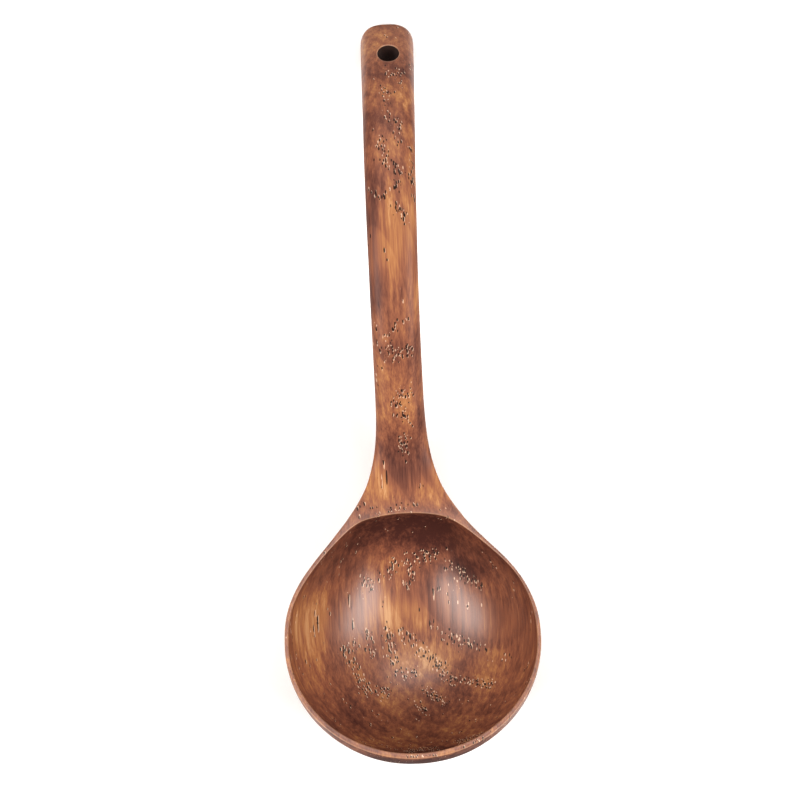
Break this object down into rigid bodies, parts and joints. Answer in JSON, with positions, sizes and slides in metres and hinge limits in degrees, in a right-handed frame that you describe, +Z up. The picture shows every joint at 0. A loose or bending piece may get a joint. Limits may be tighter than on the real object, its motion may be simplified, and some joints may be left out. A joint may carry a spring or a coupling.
{
  "type": "wooden ladle",
  "caption": "Carved wooden serving ladle with a deep round bowl, a flaring neck and an arched handle with a drilled hanging hole.",
  "frame": {"origin": "middle of the small sanded flat under the bowl, on the table's top", "axes": "+Z up with the ladle lying at rest, +Y from the bowl to the end of the handle, +X to the bowl's side"},
  "size_m": [0.0904, 0.2644, 0.0561],
  "materials": {
    "oiled_wood": "satin oil or clear lacquer over reddish-brown open-pored hardwood"
  },
  "bodies": {
    "root": {"carved_spoon": "oiled_wood"}
  },
  "joints": []
}
